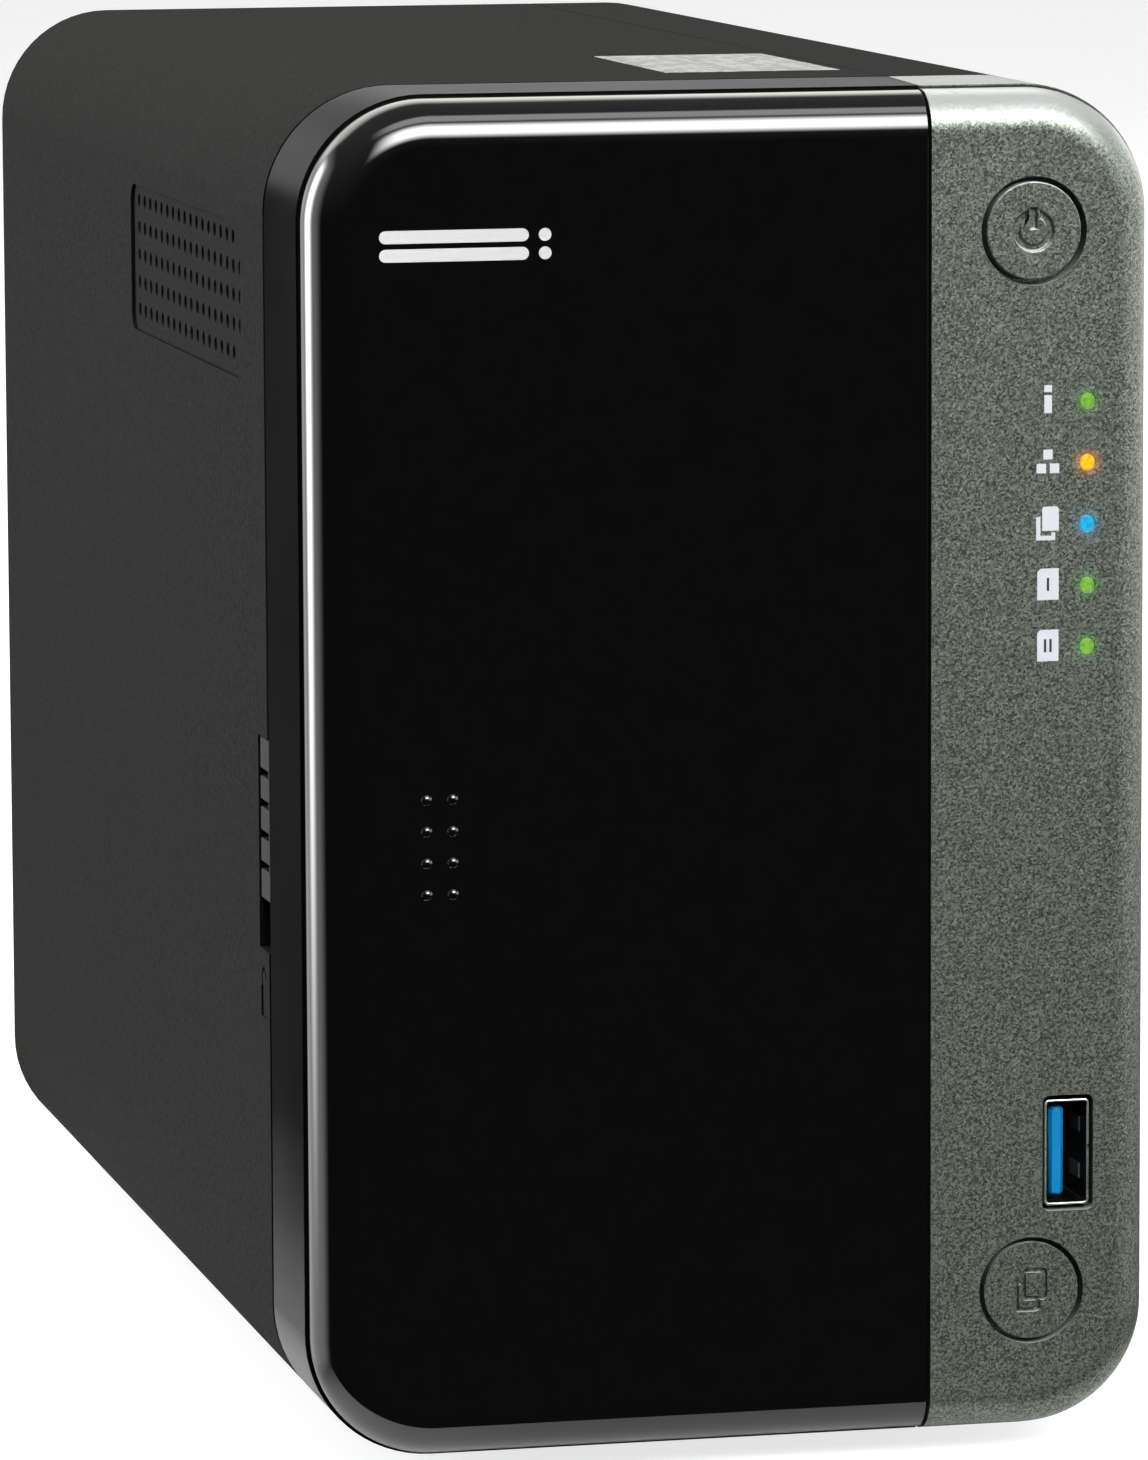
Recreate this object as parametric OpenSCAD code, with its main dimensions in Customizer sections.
// Two-bay network attached storage box: case, sliding front cover, control strip, drive trays,
// boards, cooling fan and rear ports, each piece in its own node.
// Right of the box seen from the front is +X, the front faces -Y and up is +Z.
// The origin is on the table, under the middle of the box.

/* [Body] */
// Width of the body
body_w = 105; // [104:0.5:108]
// Depth of the body, from the front face to the rear edge
body_d = 226; // [224:0.5:230]
// Height of the body without its feet
body_h = 165; // [163:0.5:168]
// Outer radius of the body's four long corners
corner_r = 15.4; // [14:0.2:17]
// Wall thickness of the outer case
wall = 2; // [1.6:0.1:2.2]

/* [Front] */
// Depth of the rounded front, shared by the cover and the control strip
nose_d = 5.9; // [5.6:0.1:6.4]
// Radius of the rounded front edge
nose_round = 5; // [4.6:0.1:5.2]
// Wall thickness of the cover and the control strip
skin = 2.4; // [2:0.1:2.6]
// Step from the band in to the rounded front
nose_inset = 0.4; // [0.2:0.1:0.6]
// Depth at which the bezel band meets the case
band_back = 25.6; // [25:0.2:27]
// Sideways place of the edge between the cover and the control strip
split_x = 24.1; // [24:0.1:25]
// Sideways place of the case seam
seam_x = 25.6; // [25.4:0.1:26.4]

/* [Controls] */
// Sideways place of both push buttons
button_x = 37; // [36.5:0.1:38]
// Height of the power button above the body's bottom
power_z = 147.6; // [146:0.2:149]
// Height of the copy button above the body's bottom
copy_z = 17.7; // [17:0.2:19]
// Radius of each push button
button_r = 5.95; // [5.5:0.05:6.1]
// Travel of each push button
button_travel = 0.8; // [0.5:0.1:1]
// Sideways place of the indicator lamps
lamp_x = 43.8; // [43:0.1:44.5]
// Height of the lowest indicator lamp
lamp_z = 97; // [95:0.5:99]
// Spacing of the indicator lamps
lamp_pitch = 7.48; // [7:0.02:7.8]
// Travel of the cover latch
latch_travel = 6; // [4:0.5:6]

/* [Feet] */
// Height of the rubber feet below the body
foot_h = 3; // [2:0.5:4]
// Radius of each foot
foot_r = 5.5; // [4:0.5:5.5]

/* [Fan] */
// Side of the square fan frame
fan_side = 70; // [68:1:70]
// Depth of the fan
fan_d = 25; // [20:1:25]
// Number of fan blades
blade_count = 7; // [5:1:9]

/* [Hidden] */
$fn = 96;
// Overlap between shapes that are joined, and reach of a cut past the surface it opens
eps = 0.02;
over = 1;
gap = 0.12;
half_w = body_w / 2;

// Side vent: a shallow panel with rows of round holes
vent_y0 = 41.5;
vent_y1 = 119;
vent_z0 = 128.2;
vent_z1 = 147.4;
vent_round = 2.5;
vent_depth = 0.5;
vent_hole_r = 0.92;
vent_rows = 5;
vent_columns = 18;
vent_first_y = 44.4;
vent_pitch_y = 4.18;
vent_first_z = 130.9;
vent_pitch_z = 3.6;

// Open seam between the bezel band and the case, and the label's recess in the top
case_seam = 0.8;
label_x = [1.7, 24];
label_y = [42, 82];
label_t = 0.15;
label_gap = 0.2;

// Slots for air in the underside
under_x = [-26, 14];
under_first_y = 62;
under_pitch = 7;
under_w = 2.4;
under_count = 14;

// Latch: slot in the left wall, slider in it, bolt behind it
slot_z0 = 58.9;
slot_z1 = 85.3;
slot_y1 = 32.6;
latch_y0 = band_back + 0.4;
latch_z1 = slot_z1 - 0.2;
latch_z0 = slot_z0 + latch_travel + 0.2;
latch_inset = 0.2;
latch_plate_y1 = 37;
latch_plate_t = 1.1;
latch_plate_reach = 3;
bolt_x = [-half_w + 2.7, -half_w + 5.3];
bolt_y = [12, 27];
bolt_z = [67.2, 73];
ridge_count = 4;
ridge_pitch = 3.85;
ridge_first_z = 69.2;
ridge_half = 0.45;
ridge_depth = 1;
guide_z = [54, 92];
guide_t = 1.2;

// Padlock sign cut into the left wall below the latch
padlock_y = [28.2, 32];
padlock_z = [50.4, 54.2];
padlock_depth = 0.25;
shackle_r = 1.5;
shackle_t = 0.5;

// Feet
foot_x = 31.5;
foot_inset_y = 32;
foot_step = 0.6;

// Lugs at the rear corners and the screws in them
lug_xz = [[-40, 10], [-40, 155], [40, 6.5], [40, 158.5]];
lug_half = 5;
lug_reach = 4;
lug_d = 10;
lug_hole_d = 8;

// Front bezel: plate behind the cover, and the lip that slips into the case
ring_wall = 2.5;
plate_y0 = 9;
plate_t = 2;
lip_inset = 0.2;
lip_t = 1.6;
lip_reach = [2, 4];
lip_notch_z = [50, 96];

// Front cover: face, tongues and grip dots
cover_y0 = 0.3;
cover_back = nose_d - 0.2;
tongue_x = -46.5;
tongue_z = [20, 56, 135];
tongue_size = [2, 12, 10];
tongue_slack = 0.5;
dot_x = [-38.2, -35];
dot_first_z = 69.5;
dot_pitch = 3.83;
dot_count = 4;
dot_r = 0.9;

// Buttons: cap, flange, stem, sign cut in the face, and the guide ring round the flange
button_face_y = 0.1;
button_gap = 0.65;
cap_back_y = 3;
flange_back_y = 4.4;
flange_reach = 1.6;
stem_r = 2;
guide_r = [button_r + 1.9, 9.2];
guide_back_y = 8.6;
sign_depth = 0.45;
sign_r = 2.5;
sign_stroke = 0.8;
sign_page = [3.3, 4];
sign_shift = [0.43, 0.7];
sign_line = 0.55;

// Front board, its bosses, switches and lamps
front_board_x = [27.5, 49];
front_board_z = [12, 153];
front_board_y = 14;
board_t = 1.6;
boss_x = 31;
boss_z = [55, 90, 130];
boss_r = 2.6;
boss_hole_y = 6;
switch_y = 13;
switch_half = 3;
plunger_y = 12.6;
plunger_r = 1.6;
lamp_r = 0.95;
lamp_hole_r = 1;
lamp_face_y = 0.1;
lamp_back_y = 12.6;
lamp_collar_y = [3.2, 4.2];
lamp_collar_r = 1.8;
chip_y = 12.9;
chip_half = [1.6, 0.8];

// USB socket
usb_x = 41.6;
usb_z = 34.6;
usb_w = 5.72;
usb_h = 13.14;
usb_sheet = 0.35;
usb_round = 0.6;
usb_l = 13.2;
usb_mouth_y = 0.5;
usb_hole_gap = [0.35, 0.6];
usb_hole_round = 0.9;
tongue_t = 1.9;
tongue_l = 9.5;
tongue_half_h = 5.6;
tongue_offset = 0.9;
tongue_sink = 1.1;

// Drive cage and its bays
cage_x = [-41, 22.6];
cage_y = [18, 180];
cage_leg_y = [34, 176];
cage_foot_w = 8;
divider_x = -9.2;
divider_t = 0.8;
divider_y0 = 30;
sheet = 1;
bay_z = [23.5, 141.5];
bay_w = (cage_x[1] - cage_x[0] - divider_t) / 2;
bay_x = [cage_x[0] + bay_w / 2, cage_x[1] - bay_w / 2];
air_slot_count = 8;
air_slot_first_y = 34;
air_slot_pitch = 16;
air_slot_d = 8;
air_slot_half = 10;

// Trays, handles and drives
face_y = 14;
face_t = 3;
tray_w = bay_w - 1;
tray_z = [bay_z[0] + 0.5, bay_z[1] - 0.5];
tray_y1 = 167;
tray_wall = 1.6;
rail_rim = 2;
rail_open = [8, 6];
rail_x = 3;
tray_hole_x = [-8, 0, 8];
tray_hole_half = 2.4;
tray_hole_h = 5.5;
tray_hole_first_z = 34;
tray_hole_pitch = 9.4;
tray_hole_count = 10;
hinge_y = 11.75;
hinge_z = 132;
pin_r = 1.5;
pin_slack = 0.05;
knuckle_r = 2.1;
ear_t = 2.2;
ear_y = [8.6, face_y + 2.4];
ear_half = 4;
lever_w = tray_w - 5;
lever_y = [10, 13.5];
lever_z0 = 30;
lever_hole_first_z = 58;
lever_hole_pitch = 11;
lever_hole_h = 6;
lever_hole_half = 8;
lever_hole_count = 6;
lever_groove_y = 12.2;
lever_groove_z1 = 46;
drive_w = 26.1;
drive_h = 101.6;
drive_l = 147;
drive_y0 = 18;
drive_z0 = (bay_z[0] + bay_z[1] - drive_h) / 2;
drive_pan_depth = 1.2;
drive_pan_y = [4, 16];
drive_pan_rim = 4;

// Backplane and its drive connectors
backplane_y = 170;
backplane_inset = [0.4, 1];
backplane_hole_z = [84, 132];
backplane_hole_half = 9;
sata_half = 3.5;
sata_z = [34, 78];
sata_gap = 0.4;
sata_slot_half = 1.5;
sata_slot_z = [37, 75];
sata_slot_d = 1.6;

// Mainboard and what stands on it
board_x = 40;
board_y = [26, 222];
board_z = [12, 153];
standoff_yz = [[40, 20], [40, 145], [190, 20], [190, 145]];
standoff_r = 3;
screw_r = 1.35;
screw_slack = 0.02;
screw_l = 5;
head_t = 1.8;
head_r = 2.8;
cross_half = [0.4, 1.8];
cross_depth = 0.8;
sink_y = [92, 146];
sink_z = [98, 150];
sink_plate_t = 2.4;
sink_gap = 0.6;
sink_fin_x = 27.5;
sink_fin_t = 1.4;
sink_fin_count = 12;
chip_y_span = [108, 130];
chip_z_span = [113, 135];
memory_z = [26, 62];
memory_y = [70, 137.6];
memory_h = [4, 32];
memory_x = [board_x - 3.4, board_x - 2.2];
socket_x0 = board_x - 5.2;
socket_y = [66, 141.6];
socket_h = 6;
cell_yz = [172, 60];
cell_r = 10;
cell_x = [board_x - 4.2, board_x - 1];
cell_clip_r = 8;

// Rear panel and the sockets in it, all lined up on the mainboard's face
panel_y = 223.3;
panel_t = 1.2;
port_x1 = board_x;
port_y1 = panel_y + panel_t + 0.4;
port_gap = 0.3;
lan_z = [92, 112];
lan_w = 13.5;
lan_h = 16;
lan_d = 21;
lan_open_d = 13;
lan_mouth_x = [1.4, 3.4];
lan_mouth_rim = 2.1;
lan_key_x = [4, 1.6];
lan_key_rim = 5;
usb_rear_z = [34, 51, 134];
display_z = 70;
display_h = 15.2;
display_w = 5.8;
display_d = 11;
display_wall = 0.5;
display_tongue_x = [2.2, 3.4];
display_tongue_y = 1.5;
display_back = 2;
dc_z = 12;
dc_size = 11;
dc_hole_r = 3.2;
dc_d = 14;
dc_hole_d = 11;
dc_pin_r = 1.2;
dc_pin_sink = 1.5;
reset_x = 36;
reset_z = 28.5;
reset_r = 0.75;
reset_hole_r = 0.95;
reset_flange = [5, 3.8];
reset_flange_r = 1.8;
lock_x = [-44, -41];
lock_z = [18, 25];
lock_round = 1.2;
air_w = 5.4;
air_h = 3;
air_round = 1.4;
air_pitch = 7.6;
air_count = 8;
air_rows = [[-40, 36], [-40, 46], [-36, 148]];

// Fan and its grille
fan_x = -10;
fan_z = 100;
fan_bore_r = fan_side / 2 - 1.6;
fan_hole = 30;
fan_hole_r = 1.7;
fan_round = 4;
fan_y0 = panel_y - fan_d;
hub_r = 15;
hub_plate_t = 3;
strut_w = 3;
strut_y = [0.4, 2.6];
shaft_r = 2;
shaft_l = 18;
shaft_slack = 0.05;
rotor_y = fan_y0 + 4;
rotor_d = 19;
rotor_hole_d = 15;
blade_pitch = 48;
blade_chord = 22;
blade_t = 1.8;
tip_gap = 1;
grille_r = 32.5;
grille_pitch = 4.6;
grille_hole_r = 2.15;
grille_reach = 8;
panel_screw_r = 1.6;
panel_head_r = 3;
panel_head_t = 1.1;
panel_cross_half = 0.35;
panel_cross_depth = 0.6;
fan_screw_l = 12;
rear_screw_l = 8;

function lamp_height(index) = lamp_z + index * lamp_pitch;

// ---------- helpers: places are x from the middle, y back from the front face, z up from the bottom

module at_home() {
    translate([0, -body_d / 2, foot_h]) children();
}

module along_x(x0, x1) {
    translate([x0, 0, 0]) rotate([90, 0, 90]) linear_extrude(x1 - x0) children();
}

module along_y(y0, y1) {
    translate([0, y1, 0]) rotate([90, 0, 0]) linear_extrude(y1 - y0) children();
}

module box(low, high) {
    translate(low) cube(high - low);
}

module rod_y(x, z, y0, y1, r) {
    translate([x, y1, z]) rotate([90, 0, 0]) cylinder(r = r, h = y1 - y0);
}

module rod_x(y, z, x0, x1, r) {
    translate([x0, y, z]) rotate([0, 90, 0]) cylinder(r = r, h = x1 - x0);
}

module rounded(x0, y0, x1, y1, r) {
    translate([x0 + r, y0]) square([x1 - x0 - 2 * r, y1 - y0]);
    translate([x0, y0 + r]) square([x1 - x0, y1 - y0 - 2 * r]);
    for (x = [x0 + r, x1 - r], y = [y0 + r, y1 - r]) translate([x, y]) circle(r);
}

// The body's outline in front view, drawn in by inset
module body_outline(inset) {
    rounded(-half_w + inset, inset, half_w - inset, body_h - inset, corner_r - inset);
}

module body_block(inset, y0, y1) {
    along_y(y0, y1) body_outline(inset);
}

// Edge profile of the rounded front: depth along x, outward along y
module rim_profile(depth, round_r) {
    translate([round_r, 0]) square([depth - round_r, round_r]);
    intersection() {
        translate([round_r, 0]) circle(round_r);
        square([round_r, round_r]);
    }
}

module rim_bar(length, depth, round_r) {
    rotate([90, 0, 90]) linear_extrude(length) rim_profile(depth, round_r);
}

module rim_corner(depth, core_r, round_r) {
    rotate([-90, 0, 0]) rotate_extrude(angle = 90)
        translate([core_r, 0]) mirror([1, -1, 0]) rim_profile(depth, round_r);
}

// The body's outline from y0 to y1, with its front edge rounded over
module nose(inset, y0, y1, round_r) {
    w = half_w - inset;
    low = inset;
    high = body_h - inset;
    r = corner_r - inset;
    depth = y1 - y0;
    along_y(y0, y1)
        rounded(-w + round_r, low + round_r, w - round_r, high - round_r, r - round_r);
    translate([-w + r, y0, high - round_r]) rim_bar(2 * (w - r), depth, round_r);
    translate([w - r, y0, low + round_r]) rotate([0, 180, 0])
        rim_bar(2 * (w - r), depth, round_r);
    translate([w - round_r, y0, high - r]) rotate([0, 90, 0])
        rim_bar(high - low - 2 * r, depth, round_r);
    translate([-w + round_r, y0, low + r]) rotate([0, -90, 0])
        rim_bar(high - low - 2 * r, depth, round_r);
    for (c = [[w - r, low + r, 0], [-w + r, low + r, 90], [-w + r, high - r, 180], [w - r, high - r, 270]])
        translate([c[0], y0, c[1]]) rotate([0, c[2], 0]) rim_corner(depth, r - round_r, round_r);
}

// Everything right of the slanting seam between bezel and control strip, moved over by shift
module strip_side(shift) {
    back = band_back + 20;
    translate([0, 0, -over]) linear_extrude(body_h + 2 * over) polygon([
        [split_x + shift, -over], [split_x + shift, nose_d], [seam_x + shift, band_back],
        [seam_x + shift, back], [half_w + over, back], [half_w + over, -over]
    ]);
}

// ---------- outer case

// Shallow panel and holes, cut into the left (side -1) or the right wall (side 1)
module vent_cut(side) {
    face_x = side * half_w;
    floor_x = face_x - side * vent_depth;
    outside_x = face_x + side * over;
    inside_x = face_x - side * (wall + over);
    along_x(min(floor_x, outside_x), max(floor_x, outside_x))
        rounded(vent_y0, vent_z0, vent_y1, vent_z1, vent_round);
    for (row = [0:vent_rows - 1], column = [0:vent_columns - 1])
        if (column > 0 || (row > 0 && row < vent_rows - 1))
            rod_x(vent_first_y + column * vent_pitch_y, vent_first_z + row * vent_pitch_z,
                  min(face_x, inside_x), max(face_x, inside_x), vent_hole_r);
}

module case_ring() {
    difference() {
        body_block(0, band_back + case_seam, body_d);
        body_block(wall, band_back, body_d + over);
    }
}

// Blocks at the rear corners that take two of the rear screws
module screw_lugs(first) {
    for (i = [first, first + 1]) difference() {
        x = lug_xz[i][0];
        z = lug_xz[i][1];
        low = z < body_h / 2;
        intersection() {
            box([x - lug_half, panel_y - lug_d, low ? 0 : z - lug_reach],
                [x + lug_half, panel_y, low ? z + lug_reach : body_h]);
            body_block(wall - eps, panel_y - lug_d - over, body_d);
        }
        rod_y(x, z, panel_y - lug_hole_d, panel_y + over, screw_r);
    }
}

// Padlock: a square body under an open shackle, seen from the left
module padlock_sign() {
    middle = (padlock_y[0] + padlock_y[1]) / 2;
    translate([padlock_y[0], padlock_z[0]])
        square([padlock_y[1] - padlock_y[0], padlock_z[1] - padlock_z[0]]);
    difference() {
        translate([middle, padlock_z[1] + shackle_r - shackle_t]) circle(shackle_r);
        translate([middle, padlock_z[1] + shackle_r - shackle_t]) circle(shackle_r - shackle_t);
        translate([padlock_y[0], padlock_z[1]]) square([middle - padlock_y[0], shackle_r - shackle_t]);
    }
}

module under_slots() {
    for (i = [0:under_count - 1])
        box([under_x[0], under_first_y + i * under_pitch, -over],
            [under_x[1], under_first_y + i * under_pitch + under_w, wall + over]);
}

module case_cover() {
    color("#38383a") at_home() {
        difference() {
            case_ring();
            box([seam_x - gap, 0, -over], [half_w + over, body_d + over, body_h + over]);
            vent_cut(-1);
            box([-half_w - over, band_back - over, slot_z0], [-half_w + wall + over, slot_y1, slot_z1]);
            box([label_x[0] - label_gap, label_y[0] - label_gap, body_h - label_t],
                [label_x[1] + label_gap, label_y[1] + label_gap, body_h + over]);
            along_x(-half_w - over, -half_w + padlock_depth) padlock_sign();
            under_slots();
        }
        box([-half_w + wall - eps, latch_plate_y1 + 0.4, guide_z[0]],
            [-half_w + 2 * wall, latch_plate_y1 + 0.4 + guide_t, guide_z[1]]);
        screw_lugs(0);
    }
}

module case_side() {
    color("#38383a") at_home() {
        difference() {
            case_ring();
            box([-half_w - over, 0, -over], [seam_x + gap, body_d + over, body_h + over]);
            vent_cut(1);
        }
        screw_lugs(2);
    }
}

module foot(x, y) {
    translate([x, y, -foot_h]) {
        cylinder(r1 = foot_r - foot_step, r2 = foot_r, h = foot_h / 2);
        translate([0, 0, foot_h / 2]) cylinder(r = foot_r, h = foot_h / 2);
    }
}

module feet() {
    color("#202020") at_home()
        for (x = [-foot_x, foot_x], y = [foot_inset_y, body_d - foot_inset_y]) foot(x, y);
}

module top_label() {
    color("white") at_home()
        box([label_x[0], label_y[0], body_h - label_t], [label_x[1], label_y[1], body_h]);
}

// ---------- front

// Plate behind the cover, open at the drive bays and at the cover's tongues
module bezel_plate() {
    plate_y1 = plate_y0 + plate_t;
    rim = 0.5;
    difference() {
        intersection() {
            body_block(wall, plate_y0, plate_y1);
            box([-half_w, 0, 0], [split_x - rim - gap, plate_y1 + over, body_h]);
        }
        along_y(plate_y0 - over, plate_y1 + over)
            rounded(cage_x[0], bay_z[0] - rim, cage_x[1], bay_z[1] + rim, 1);
        for (z = tongue_z)
            box([-half_w + ring_wall + rim, plate_y0 - over, z - 2 * tongue_slack],
                [tongue_x + tongue_size[0] + tongue_slack, plate_y1 + over,
                 z + tongue_size[2] + 2 * tongue_slack]);
    }
}

// Thin lip that slips inside the case, open where the latch plate runs
module bezel_lip() {
    y0 = band_back - lip_reach[0];
    y1 = band_back + lip_reach[1];
    notch_x = -half_w + ring_wall + lip_t + wall;
    difference() {
        body_block(wall + lip_inset, y0, y1);
        body_block(wall + lip_inset + lip_t, y0 - over, y1 + over);
        strip_side(-lip_inset - gap);
        box([-half_w + ring_wall, 0, lip_notch_z[0]], [notch_x, y1 + over, lip_notch_z[1]]);
        box([-half_w, band_back, lip_notch_z[0]], [notch_x, y1 + over, lip_notch_z[1]]);
    }
}

module front_bezel() {
    color("#232325") at_home() {
        difference() {
            body_block(0, nose_d, band_back);
            body_block(ring_wall, nose_d - over, band_back + over);
            strip_side(-gap);
        }
        bezel_plate();
        bezel_lip();
    }
}

module front_cover() {
    edge = split_x - gap;
    color("#0a0a0a") at_home() {
        difference() {
            intersection() {
                nose(nose_inset, cover_y0, cover_back, nose_round);
                box([-half_w, -over, 0], [edge, nose_d + over, body_h]);
            }
            intersection() {
                nose(nose_inset + skin, skin + cover_y0, nose_d + over, nose_round - skin);
                box([-half_w, 0, 0], [edge - skin, nose_d + 2 * over, body_h]);
            }
        }
        for (z = tongue_z)
            translate([tongue_x, skin, z])
                cube([tongue_size[0], tongue_size[1] + nose_d - skin, tongue_size[2]]);
        for (x = dot_x, i = [0:dot_count - 1])
            translate([x, dot_r, dot_first_z + i * dot_pitch]) sphere(dot_r);
    }
}

module button_guide(z) {
    difference() {
        rod_y(button_x, z, skin - 0.5, guide_back_y, guide_r[1]);
        rod_y(button_x, z, 0, guide_back_y + over, guide_r[0]);
    }
}

module board_boss(z) {
    difference() {
        rod_y(boss_x, z, skin - 0.5, front_board_y, boss_r);
        rod_y(boss_x, z, boss_hole_y, front_board_y + over, screw_r);
    }
}

// Openings in the strip's face for the buttons, the lamps and the USB socket
module strip_openings() {
    depth = 5;
    for (z = [power_z, copy_z]) rod_y(button_x, z, -over, depth, button_r + button_gap);
    for (i = [0:4]) rod_y(lamp_x, lamp_height(i), -over, depth, lamp_hole_r);
    along_y(-over, depth)
        rounded(usb_x - usb_w / 2 - usb_hole_gap[0], usb_z - usb_h / 2 - usb_hole_gap[1],
                usb_x + usb_w / 2 + usb_hole_gap[0], usb_z + usb_h / 2 + usb_hole_gap[1], usb_hole_round);
}

module control_panel() {
    edge_wall = 2;
    color("#5f665c") at_home() {
        difference() {
            intersection() {
                union() {
                    nose(nose_inset, 0, nose_d, nose_round);
                    body_block(0, nose_d, band_back);
                }
                strip_side(gap);
            }
            intersection() {
                nose(nose_inset + skin, skin, nose_d + eps, nose_round - skin);
                box([split_x + edge_wall, 0, 0], [half_w, plate_y0 + over, body_h]);
            }
            intersection() {
                body_block(ring_wall, nose_d, band_back + over);
                box([split_x + edge_wall, 0, 0], [half_w, plate_y0, body_h]);
            }
            body_block(ring_wall, plate_y0, band_back + over);
            strip_openings();
        }
        for (z = [power_z, copy_z]) button_guide(z);
        for (z = boss_z) board_boss(z);
    }
}

// Stand-by sign: an open ring with a bar in its gap
module power_sign() {
    difference() {
        circle(sign_r);
        circle(sign_r - sign_stroke);
        translate([-sign_stroke, 0]) square([2 * sign_stroke, sign_r + over]);
    }
    translate([-sign_stroke / 2, 0.2]) square([sign_stroke, sign_r]);
}

// Outline of one sheet, its lower left corner at low
module sheet_outline(low) {
    high = low + sign_page;
    difference() {
        rounded(low[0], low[1], high[0], high[1], 0.6);
        rounded(low[0] + sign_line, low[1] + sign_line, high[0] - sign_line, high[1] - sign_line, 0.3);
    }
}

// Copy sign: one sheet in front of another
module copy_sign() {
    front_low = -sign_page / 2 + sign_shift;
    front_high = front_low + sign_page;
    sheet_outline(front_low);
    difference() {
        sheet_outline(-sign_page / 2 - sign_shift);
        rounded(front_low[0], front_low[1], front_high[0], front_high[1], 0.6);
    }
}

// A push button whose sign, the child, is cut into its face
module push_button(z) {
    difference() {
        rod_y(button_x, z, button_face_y, cap_back_y, button_r);
        translate([button_x, 0, z]) along_y(0, button_face_y + sign_depth) children();
    }
    rod_y(button_x, z, cap_back_y - eps, flange_back_y, button_r + flange_reach);
    rod_y(button_x, z, flange_back_y - eps, plunger_y - button_travel - 0.2, stem_r);
}

module power_button() {
    color("#5f665c") at_home() push_button(power_z) power_sign();
}

module copy_button() {
    color("#5f665c") at_home() push_button(copy_z) copy_sign();
}

module lamp(index) {
    at_home() {
        rod_y(lamp_x, lamp_height(index), lamp_face_y, lamp_back_y, lamp_r);
        rod_y(lamp_x, lamp_height(index), lamp_collar_y[0], lamp_collar_y[1], lamp_collar_r);
    }
}

module lamp_status() {
    color("#7ec850") lamp(4);
}

module lamp_network() {
    color("#f0a020") lamp(3);
}

module lamp_copy() {
    color("#30a0e0") lamp(2);
}

module lamp_drive_1() {
    color("#7ec850") lamp(1);
}

module lamp_drive_2() {
    color("#7ec850") lamp(0);
}

// A type A socket standing on its narrow side, open along Y
module usb_shell(x, z, y0, y1) {
    low = [x - usb_w / 2, z - usb_h / 2];
    high = [x + usb_w / 2, z + usb_h / 2];
    difference() {
        along_y(y0, y1) rounded(low[0], low[1], high[0], high[1], usb_round);
        along_y(y0 - over, y1 + over)
            rounded(low[0] + usb_sheet, low[1] + usb_sheet,
                    high[0] - usb_sheet, high[1] - usb_sheet, usb_round - 0.2);
    }
}

// The socket's tongue, from mouth_y inward, and the block behind it, to back_y
module usb_core(x, z, mouth_y, back_y) {
    inward = back_y > mouth_y ? 1 : -1;
    end_y = mouth_y + inward * tongue_l;
    left = x - usb_w / 2;
    block_inset = usb_sheet + 0.05;
    box([left + tongue_offset, min(mouth_y, end_y), z - tongue_half_h],
        [left + tongue_offset + tongue_t, max(mouth_y, end_y), z + tongue_half_h]);
    box([left + block_inset, min(end_y - inward * eps, back_y), z - 6],
        [left + usb_w - block_inset, max(end_y - inward * eps, back_y), z + 6]);
}

module usb_front_shell() {
    color("#c8c8c8") at_home() usb_shell(usb_x, usb_z, usb_mouth_y, usb_mouth_y + usb_l);
}

module usb_front_tongue() {
    color("#0a86d0") at_home() usb_core(usb_x, usb_z, usb_mouth_y + tongue_sink, usb_mouth_y + usb_l);
}

module front_board() {
    color("#1d5c35") at_home() difference() {
        box([front_board_x[0], front_board_y, front_board_z[0]],
            [front_board_x[1], front_board_y + board_t, front_board_z[1]]);
        for (z = boss_z)
            rod_y(boss_x, z, front_board_y - over, front_board_y + board_t + over, screw_r + 0.15);
    }
}

module button_switches() {
    color("#202020") at_home() for (z = [power_z, copy_z]) {
        box([button_x - switch_half, switch_y, z - switch_half],
            [button_x + switch_half, front_board_y, z + switch_half]);
        rod_y(button_x, z, plunger_y, switch_y + eps, plunger_r);
    }
}

module lamp_chips() {
    color("#e8e4c8") at_home() for (i = [0:4])
        box([lamp_x - chip_half[0], chip_y, lamp_height(i) - chip_half[1]],
            [lamp_x + chip_half[0], front_board_y, lamp_height(i) + chip_half[1]]);
}

module latch_slider() {
    plate_x0 = -half_w + wall + 0.2;
    color("#38383a") at_home() {
        difference() {
            box([-half_w + latch_inset, latch_y0, latch_z0],
                [plate_x0 + latch_inset, slot_y1 - 0.3, latch_z1]);
            for (i = [0:ridge_count - 1])
                box([-half_w - over, latch_y0 + 1.2, ridge_first_z + i * ridge_pitch - ridge_half],
                    [-half_w + latch_inset + ridge_depth, slot_y1,
                     ridge_first_z + i * ridge_pitch + ridge_half]);
        }
        box([plate_x0, latch_y0, latch_z0 - latch_plate_reach],
            [plate_x0 + latch_plate_t, latch_plate_y1, latch_z1 + latch_plate_reach]);
        box([bolt_x[0], bolt_y[0], bolt_z[0]], [bolt_x[1], bolt_y[1], bolt_z[1]]);
    }
}

// ---------- drive cage

// One side sheet, with legs down to the case and a foot turned inward
module cage_side(x0, foot_x0) {
    box([x0, cage_y[0], bay_z[0] - sheet], [x0 + sheet, cage_y[1], bay_z[1] + sheet]);
    intersection() {
        union() {
            box([x0, cage_leg_y[0], wall], [x0 + sheet, cage_leg_y[1], bay_z[0]]);
            box([foot_x0, cage_leg_y[0], wall], [foot_x0 + cage_foot_w, cage_leg_y[1], wall + 2 * sheet]);
        }
        body_block(wall + eps, cage_leg_y[0], cage_leg_y[1]);
    }
}

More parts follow.
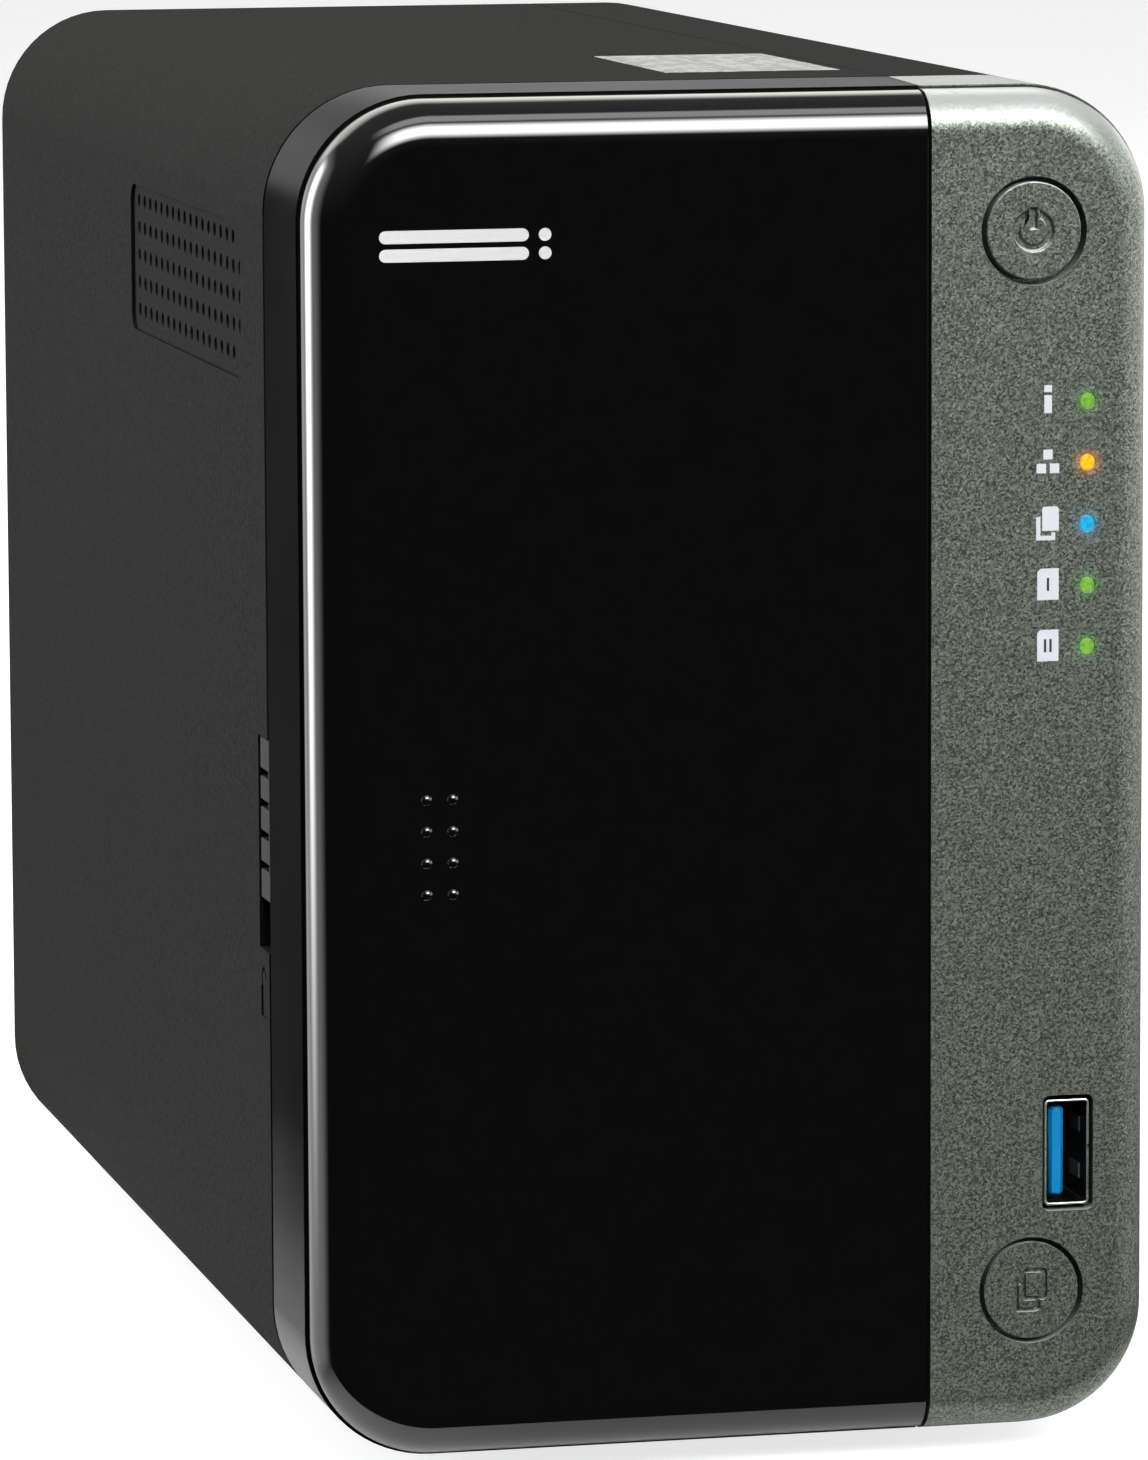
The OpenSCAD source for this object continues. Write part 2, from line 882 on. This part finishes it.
// One level sheet between the cage's sides, with slots for air
module cage_shelf(z) {
    difference() {
        box([cage_x[0], cage_y[0], z], [cage_x[1], cage_y[1], z + sheet]);
        for (i = [0:air_slot_count - 1], x = bay_x)
            box([x - air_slot_half, air_slot_first_y + i * air_slot_pitch, z - over],
                [x + air_slot_half, air_slot_first_y + i * air_slot_pitch + air_slot_d, z + sheet + over]);
    }
}

module cage_left() {
    color("#b5b8bb") at_home() cage_side(cage_x[0] - sheet, cage_x[0] - sheet);
}

module cage_right() {
    color("#b5b8bb") at_home() cage_side(cage_x[1], cage_x[1] + sheet - cage_foot_w);
}

module cage_roof() {
    color("#b5b8bb") at_home() cage_shelf(bay_z[1]);
}

module cage_floor() {
    color("#b5b8bb") at_home() cage_shelf(bay_z[0] - sheet);
}

module cage_divider() {
    color("#b5b8bb") at_home()
        box([divider_x - divider_t / 2, divider_y0, bay_z[0]],
            [divider_x + divider_t / 2, backplane_y - 0.5, bay_z[1]]);
}

module backplane() {
    color("#1d5c35") at_home() difference() {
        box([cage_x[0] + backplane_inset[0], backplane_y, bay_z[0] + backplane_inset[1]],
            [cage_x[1] - backplane_inset[0], backplane_y + board_t, bay_z[1] - backplane_inset[1]]);
        for (x = bay_x) along_y(backplane_y - over, backplane_y + board_t + over)
            rounded(x - backplane_hole_half, backplane_hole_z[0],
                    x + backplane_hole_half, backplane_hole_z[1], 3);
    }
}

module sata_connectors() {
    front = tray_y1 + sata_gap;
    color("#151515") at_home() for (x = bay_x) difference() {
        box([x - sata_half, front, sata_z[0]], [x + sata_half, backplane_y, sata_z[1]]);
        box([x - sata_slot_half, front - over, sata_slot_z[0]],
            [x + sata_slot_half, front + sata_slot_d, sata_slot_z[1]]);
    }
}

// ---------- trays, handles and drives

// A rail under or over the drive, opened out between its rims
module tray_rail(x0, x1, z0, z1) {
    difference() {
        box([x0, face_y + face_t - eps, z0], [x1, tray_y1, z1]);
        box([x0 + rail_x, face_y + rail_open[0], z0 + rail_rim],
            [x1 + over, tray_y1 - rail_open[1], z1 - rail_rim]);
    }
}

module tray(index) {
    x0 = bay_x[index] - tray_w / 2;
    x1 = bay_x[index] + tray_w / 2;
    rail_z = drive_z0 - 0.3;
    at_home() {
        difference() {
            box([x0, face_y, tray_z[0]], [x1, face_y + face_t, tray_z[1]]);
            for (i = [0:tray_hole_count - 1], x = tray_hole_x)
                translate([bay_x[index] + x - tray_hole_half, face_y - over,
                           tray_hole_first_z + i * tray_hole_pitch])
                    cube([2 * tray_hole_half, face_t + 2 * over, tray_hole_h]);
        }
        box([x0, face_y + face_t - eps, tray_z[0]], [x0 + tray_wall, tray_y1, tray_z[1]]);
        tray_rail(x0, x1, tray_z[0], rail_z);
        tray_rail(x0, x1, rail_z + drive_h + 0.6, tray_z[1]);
        for (x = [x0, x1 - ear_t]) difference() {
            along_x(x, x + ear_t) rounded(ear_y[0], hinge_z - ear_half, ear_y[1], hinge_z + ear_half, 1.5);
            rod_x(hinge_y, hinge_z, x - over, x + ear_t + over, pin_r + pin_slack);
        }
    }
}

module tray_1() {
    color("#28282a") tray(0);
}

module tray_2() {
    color("#28282a") tray(1);
}

module tray_handle(index) {
    x = bay_x[index];
    at_home() {
        difference() {
            box([x - lever_w / 2, lever_y[0], lever_z0], [x + lever_w / 2, lever_y[1], hinge_z]);
            for (i = [0:lever_hole_count - 1])
                translate([x - lever_hole_half, lever_y[0] - over, lever_hole_first_z + i * lever_hole_pitch])
                    cube([2 * lever_hole_half, lever_y[1] - lever_y[0] + 2 * over, lever_hole_h]);
            along_x(x - lever_w / 2 - over, x + lever_w / 2 + over)
                rounded(lever_groove_y, lever_z0 - over, lever_y[1] + over, lever_groove_z1, 0.5);
        }
        rod_x(hinge_y, hinge_z, x - lever_w / 2, x + lever_w / 2, knuckle_r);
        rod_x(hinge_y, hinge_z, x - tray_w / 2 + 0.3, x + tray_w / 2 - 0.3, pin_r);
    }
}

module tray_handle_1() {
    color("#2d2d30") tray_handle(0);
}

module tray_handle_2() {
    color("#2d2d30") tray_handle(1);
}

module drive(index) {
    x0 = bay_x[index] - tray_w / 2 + tray_wall + 0.2;
    x1 = x0 + drive_w;
    at_home() difference() {
        box([x0, drive_y0, drive_z0], [x1, drive_y0 + drive_l, drive_z0 + drive_h]);
        box([x1 - drive_pan_depth, drive_y0 + drive_pan_y[0], drive_z0 + drive_pan_rim],
            [x1 + over, drive_y0 + drive_pan_y[1], drive_z0 + drive_h - drive_pan_rim]);
    }
}

module drive_1() {
    color("#a9abae") drive(0);
}

module drive_2() {
    color("#a9abae") drive(1);
}

// ---------- boards

module mainboard() {
    color("#1d5c35") at_home() difference() {
        box([board_x, board_y[0], board_z[0]], [board_x + board_t, board_y[1], board_z[1]]);
        for (p = standoff_yz) rod_x(p[0], p[1], board_x - over, board_x + board_t + over, screw_r + 0.15);
    }
}

module heat_sink() {
    plate_x0 = board_x - sink_gap - sink_plate_t;
    pitch = (sink_z[1] - sink_z[0] - sink_fin_t) / (sink_fin_count - 1);
    color("#2b2f36") at_home() {
        box([plate_x0, sink_y[0], sink_z[0]], [board_x - sink_gap, sink_y[1], sink_z[1]]);
        for (i = [0:sink_fin_count - 1])
            box([sink_fin_x, sink_y[0], sink_z[0] + i * pitch],
                [plate_x0 + eps, sink_y[1], sink_z[0] + i * pitch + sink_fin_t]);
        box([board_x - sink_gap - eps, chip_y_span[0], chip_z_span[0]],
            [board_x, chip_y_span[1], chip_z_span[1]]);
    }
}

module memory_modules() {
    color("#206a3c") at_home() for (z = memory_z)
        box([memory_x[0], memory_y[0], z + memory_h[0]], [memory_x[1], memory_y[1], z + memory_h[1]]);
}

module memory_sockets() {
    slack = 0.1;
    color("#1a1a1a") at_home() for (z = memory_z) difference() {
        box([socket_x0, socket_y[0], z], [board_x, socket_y[1], z + socket_h]);
        box([memory_x[0] - slack, memory_y[0] - slack, z + memory_h[0] - slack],
            [memory_x[1] + slack, memory_y[1] + slack, z + socket_h + over]);
    }
}

module coin_cell() {
    color("#c0c0c0") at_home() {
        rod_x(cell_yz[0], cell_yz[1], cell_x[0], cell_x[1], cell_r);
        rod_x(cell_yz[0], cell_yz[1], cell_x[1] - eps, board_x, cell_clip_r);
    }
}

module board_standoffs() {
    back = board_x + board_t;
    color("#c9a44a") at_home() for (p = standoff_yz) difference() {
        rod_x(p[0], p[1], back, half_w - wall, standoff_r);
        rod_x(p[0], p[1], board_x, back + screw_l + over, screw_r + screw_slack);
    }
}

module board_screws() {
    head_x = board_x - head_t;
    color("#b0b0b0") at_home() for (p = standoff_yz) difference() {
        union() {
            rod_x(p[0], p[1], head_x, board_x, head_r);
            rod_x(p[0], p[1], board_x - eps, board_x + board_t + screw_l, screw_r);
        }
        for (half = [cross_half, [cross_half[1], cross_half[0]]])
            box([head_x - over, p[0] - half[0], p[1] - half[1]],
                [head_x + cross_depth, p[0] + half[0], p[1] + half[1]]);
    }
}

// ---------- rear

module grille_holes() {
    step_z = grille_pitch * sqrt(3) / 2;
    for (row = [-grille_reach:grille_reach], column = [-grille_reach:grille_reach]) {
        x = (column + (row % 2 == 0 ? 0 : 0.5)) * grille_pitch;
        z = row * step_z;
        if (norm([x, z]) < grille_r - 2)
            translate([fan_x + x, panel_y + panel_t + over, fan_z + z]) rotate([90, 0, 0])
                rotate([0, 0, 30]) cylinder(r = grille_hole_r, h = panel_t + 2 * over, $fn = 6);
    }
}

// Opening for a socket of width w and height h that ends at port_x1
module port_hole(z, w, h) {
    box([port_x1 - w - port_gap, panel_y - over, z - port_gap],
        [port_x1 + port_gap, panel_y + panel_t + over, z + h + port_gap]);
}

module panel_slot(x0, z0, x1, z1, r) {
    along_y(panel_y - over, panel_y + panel_t + over) rounded(x0, z0, x1, z1, r);
}

module panel_drill(x, z, r) {
    rod_y(x, z, panel_y - over, panel_y + panel_t + over, r);
}

module rear_panel() {
    color("#2a2a2c") at_home() difference() {
        body_block(wall + 0.2, panel_y, panel_y + panel_t);
        grille_holes();
        for (x = [-fan_hole, fan_hole], z = [-fan_hole, fan_hole])
            panel_drill(fan_x + x, fan_z + z, fan_hole_r + 0.1);
        for (p = lug_xz) panel_drill(p[0], p[1], panel_screw_r);
        for (z = lan_z) port_hole(z, lan_w, lan_h);
        for (z = usb_rear_z) port_hole(z, usb_w, usb_h);
        port_hole(display_z, display_w, display_h);
        port_hole(dc_z, dc_size, dc_size);
        panel_drill(reset_x, reset_z, reset_hole_r);
        panel_slot(lock_x[0], lock_z[0], lock_x[1], lock_z[1], lock_round);
        for (row = air_rows, i = [0:air_count - 1])
            panel_slot(row[0] + i * air_pitch, row[1],
                       row[0] + i * air_pitch + air_w, row[1] + air_h, air_round);
    }
}

module fan_frame() {
    x0 = fan_x - fan_side / 2;
    z0 = fan_z - fan_side / 2;
    color("#151516") at_home() {
        difference() {
            along_y(fan_y0, panel_y) rounded(x0, z0, x0 + fan_side, z0 + fan_side, fan_round);
            rod_y(fan_x, fan_z, fan_y0 - over, panel_y + over, fan_bore_r);
            for (x = [-fan_hole, fan_hole], z = [-fan_hole, fan_hole])
                rod_y(fan_x + x, fan_z + z, fan_y0 - over, panel_y + over, fan_hole_r);
        }
        rod_y(fan_x, fan_z, fan_y0, fan_y0 + hub_plate_t, hub_r - 1);
        for (angle = [45:90:315])
            translate([fan_x, fan_y0, fan_z]) rotate([0, angle, 0])
                translate([hub_r - 3, strut_y[0], -strut_w / 2])
                    cube([fan_bore_r - hub_r + 4, strut_y[1] - strut_y[0], strut_w]);
        rod_y(fan_x, fan_z, fan_y0 + 2, fan_y0 + shaft_l, shaft_r);
    }
}

module fan_rotor() {
    color("#1c1c1e") at_home() difference() {
        union() {
            rod_y(fan_x, fan_z, rotor_y, rotor_y + rotor_d, hub_r);
            intersection() {
                rod_y(fan_x, fan_z, rotor_y + 0.5, rotor_y + rotor_d - 0.5, fan_bore_r - tip_gap);
                for (i = [0:blade_count - 1])
                    translate([fan_x, rotor_y + rotor_d / 2, fan_z]) rotate([0, i * 360 / blade_count, 0])
                        translate([hub_r - 3, 0, 0]) rotate([blade_pitch, 0, 0])
                            translate([0, -blade_chord / 2, -blade_t / 2])
                                cube([fan_bore_r, blade_chord, blade_t]);
            }
        }
        rod_y(fan_x, fan_z, rotor_y - over, rotor_y + rotor_hole_d, shaft_r + shaft_slack);
    }
}

// A screw in the rear panel, its cross cut into the head
module panel_screw(x, z, length, r, head) {
    head_y = panel_y + panel_t;
    difference() {
        union() {
            rod_y(x, z, head_y, head_y + panel_head_t, head);
            rod_y(x, z, head_y - length, head_y + eps, r);
        }
        for (half = [[head * 0.6, panel_cross_half], [panel_cross_half, head * 0.6]])
            box([x - half[0], head_y + panel_head_t - panel_cross_depth, z - half[1]],
                [x + half[0], head_y + panel_head_t + over, z + half[1]]);
    }
}

module fan_screws() {
    color("#3a3a3c") at_home() for (x = [-fan_hole, fan_hole], z = [-fan_hole, fan_hole])
        panel_screw(fan_x + x, fan_z + z, fan_screw_l, fan_hole_r - 0.1, panel_head_r);
}

module rear_screws() {
    color("#3a3a3c") at_home() for (p = lug_xz)
        panel_screw(p[0], p[1], rear_screw_l, screw_r - screw_slack, panel_head_r - 0.1);
}

module lan_ports() {
    color("#c0c2c4") at_home() for (z = lan_z) difference() {
        box([port_x1 - lan_w, port_y1 - lan_d, z], [port_x1, port_y1, z + lan_h]);
        box([port_x1 - lan_w + lan_mouth_x[0], port_y1 - lan_open_d, z + lan_mouth_rim],
            [port_x1 - lan_mouth_x[1], port_y1 + over, z + lan_h - lan_mouth_rim]);
        box([port_x1 - lan_key_x[0], port_y1 - lan_open_d, z + lan_key_rim],
            [port_x1 - lan_key_x[1], port_y1 + over, z + lan_h - lan_key_rim]);
    }
}

module usb_rear_shells() {
    color("#c8c8c8") at_home() for (z = usb_rear_z)
        usb_shell(port_x1 - usb_w / 2, z + usb_h / 2, port_y1 - usb_l, port_y1);
}

module usb_rear_tongues() {
    color("#101010") at_home() for (z = usb_rear_z)
        usb_core(port_x1 - usb_w / 2, z + usb_h / 2, port_y1 - tongue_sink, port_y1 - usb_l);
}

module display_port() {
    x0 = port_x1 - display_w;
    open_y = port_y1 - display_d + display_back;
    color("#b8b8b8") at_home() {
        difference() {
            box([x0, port_y1 - display_d, display_z], [port_x1, port_y1, display_z + display_h]);
            box([x0 + display_wall, open_y, display_z + display_wall],
                [port_x1 - display_wall, port_y1 + over, display_z + display_h - display_wall]);
        }
        box([x0 + display_tongue_x[0], open_y - eps, display_z + 2],
            [x0 + display_tongue_x[1], port_y1 - display_tongue_y, display_z + display_h - 2]);
    }
}

module dc_inlet() {
    color("#111111") at_home() difference() {
        box([port_x1 - dc_size, port_y1 - dc_d, dc_z], [port_x1, port_y1, dc_z + dc_size]);
        rod_y(port_x1 - dc_size / 2, dc_z + dc_size / 2, port_y1 - dc_hole_d, port_y1 + over, dc_hole_r);
    }
}

module dc_pin() {
    x = port_x1 - dc_size / 2;
    z = dc_z + dc_size / 2;
    color("#d0d0d0") at_home() {
        rod_y(x, z, port_y1 - dc_hole_d, port_y1 - dc_pin_sink, dc_pin_r);
        translate([x, port_y1 - dc_pin_sink, z]) sphere(dc_pin_r);
    }
}

module reset_button() {
    color("#303030") at_home() {
        rod_y(reset_x, reset_z, panel_y - reset_flange[0], panel_y + 0.2, reset_r);
        rod_y(reset_x, reset_z, panel_y - reset_flange[0], panel_y - reset_flange[1], reset_flange_r);
    }
}

case_cover();
case_side();
front_bezel();
control_panel();
front_cover();
latch_slider();
power_button();
copy_button();
lamp_status();
lamp_network();
lamp_copy();
lamp_drive_1();
lamp_drive_2();
usb_front_shell();
usb_front_tongue();
front_board();
button_switches();
lamp_chips();
cage_left();
cage_right();
cage_roof();
cage_floor();
cage_divider();
backplane();
sata_connectors();
tray_1();
tray_2();
tray_handle_1();
tray_handle_2();
drive_1();
drive_2();
mainboard();
heat_sink();
memory_modules();
memory_sockets();
coin_cell();
board_standoffs();
board_screws();
rear_panel();
fan_frame();
fan_rotor();
fan_screws();
rear_screws();
lan_ports();
usb_rear_shells();
usb_rear_tongues();
display_port();
dc_inlet();
dc_pin();
reset_button();
feet();
top_label();
